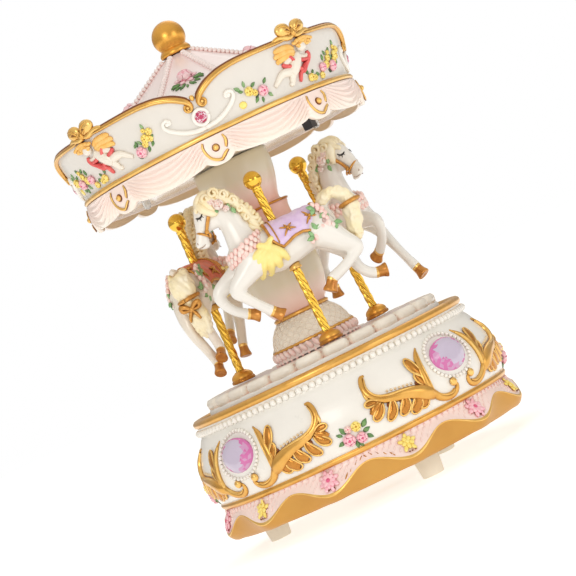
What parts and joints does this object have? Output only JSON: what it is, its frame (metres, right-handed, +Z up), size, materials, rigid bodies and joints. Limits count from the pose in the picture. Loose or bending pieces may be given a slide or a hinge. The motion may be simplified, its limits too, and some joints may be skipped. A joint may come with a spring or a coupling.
{
  "type": "carousel music box",
  "caption": "Wind-up carousel music box: a round scrolled base with a movement inside turns a deck of galloping horses on twisted poles under a jewelled canopy.",
  "frame": {"origin": "on the turning axis at the level of the feet's undersides", "axes": "+Z up along the turning axis, -Y towards the front"},
  "size_m": [0.118, 0.118, 0.19],
  "materials": {
    "white_resin": "glossy painted resin, white",
    "pink_resin": "glossy painted resin, pale pink",
    "cream_resin": "satin painted resin, cream",
    "cream_rubber": "matt cream",
    "gold_paint": "metallic gold paint",
    "brass": "polished",
    "purple_gem": "clear cut gem, lilac",
    "pink_gem": "clear cut gem, rose",
    "clear_plastic": "clear moulded",
    "black_plastic": "matt black",
    "zinc": "die-cast, grey",
    "steel": "plain steel"
  },
  "bodies": {
    "base": {"base_casing": "white_resin", "bottom_cover": "cream_resin", "foot_1": "cream_rubber", "foot_2": "cream_rubber", "foot_3": "cream_rubber", "cover_screw_1": "steel", "cover_screw_2": "steel", "cover_screw_3": "steel", "base_gem_1": "purple_gem", "base_gem_2": "purple_gem", "base_gem_3": "purple_gem", "base_gem_4": "purple_gem", "movement_bedplate": "zinc", "movement_screw_1": "steel", "movement_screw_2": "steel", "movement_screw_3": "steel", "comb": "steel", "comb_screw_1": "steel", "comb_screw_2": "steel", "cylinder_bracket_inner": "zinc", "cylinder_bracket_outer": "zinc", "governor_frame": "zinc", "spindle_bush": "brass"},
    "winding_key": {"winding_key": "brass", "winding_arbor": "steel"},
    "carousel": {"spring_barrel": "brass", "spindle": "steel", "deck": "cream_resin", "column": "pink_resin", "tie_rod": "steel", "tie_rod_nut": "steel", "pole_1": "brass", "pole_2": "brass", "pole_3": "brass", "pole_ball_1": "brass", "pole_ball_2": "brass", "pole_ball_3": "brass", "pole_socket_1": "gold_paint", "pole_socket_2": "gold_paint", "pole_socket_3": "gold_paint", "horse_1": "white_resin", "horse_2": "white_resin", "horse_3": "white_resin", "canopy": "pink_resin", "canopy_gem_1": "pink_gem", "canopy_gem_2": "pink_gem", "canopy_gem_3": "pink_gem", "canopy_gem_4": "pink_gem", "canopy_finial": "gold_paint", "canopy_floor": "white_resin", "led_1": "clear_plastic", "led_2": "clear_plastic", "led_3": "clear_plastic", "switch_body": "steel", "battery_holder": "black_plastic", "button_cell_1": "steel", "button_cell_2": "steel"},
    "cylinder": {"pin_cylinder": "brass"},
    "governor": {"governor_fan": "steel"},
    "switch_slider": {"switch_slider": "black_plastic"}
  },
  "joints": [
    {"name": "carousel_spin", "type": "hinge", "parent": "base", "child": "carousel", "pos_m": [0, 0, 0.05], "axis": [0, 0, 1], "continuous": true},
    {"name": "key_wind", "type": "hinge", "parent": "base", "child": "winding_key", "pos_m": [0, 0, 0.006], "axis": [0, 0, 1], "continuous": true},
    {"name": "cylinder_spin", "type": "hinge", "parent": "base", "child": "cylinder", "pos_m": [0.0245, 0, 0.02437], "axis": [1, 0, 0], "continuous": true},
    {"name": "governor_spin", "type": "hinge", "parent": "base", "child": "governor", "pos_m": [0.035, 0.01, 0.025], "axis": [0, 0, 1], "continuous": true},
    {"name": "switch_slide", "type": "slide", "parent": "carousel", "child": "switch_slider", "axis": [0.454, 0.891, 0], "range_m": [0, 0.002]}
  ],
  "couplings": [
    {"joint": "cylinder_spin", "follows": "carousel_spin", "ratio": 3},
    {"joint": "governor_spin", "follows": "carousel_spin", "ratio": -36}
  ]
}
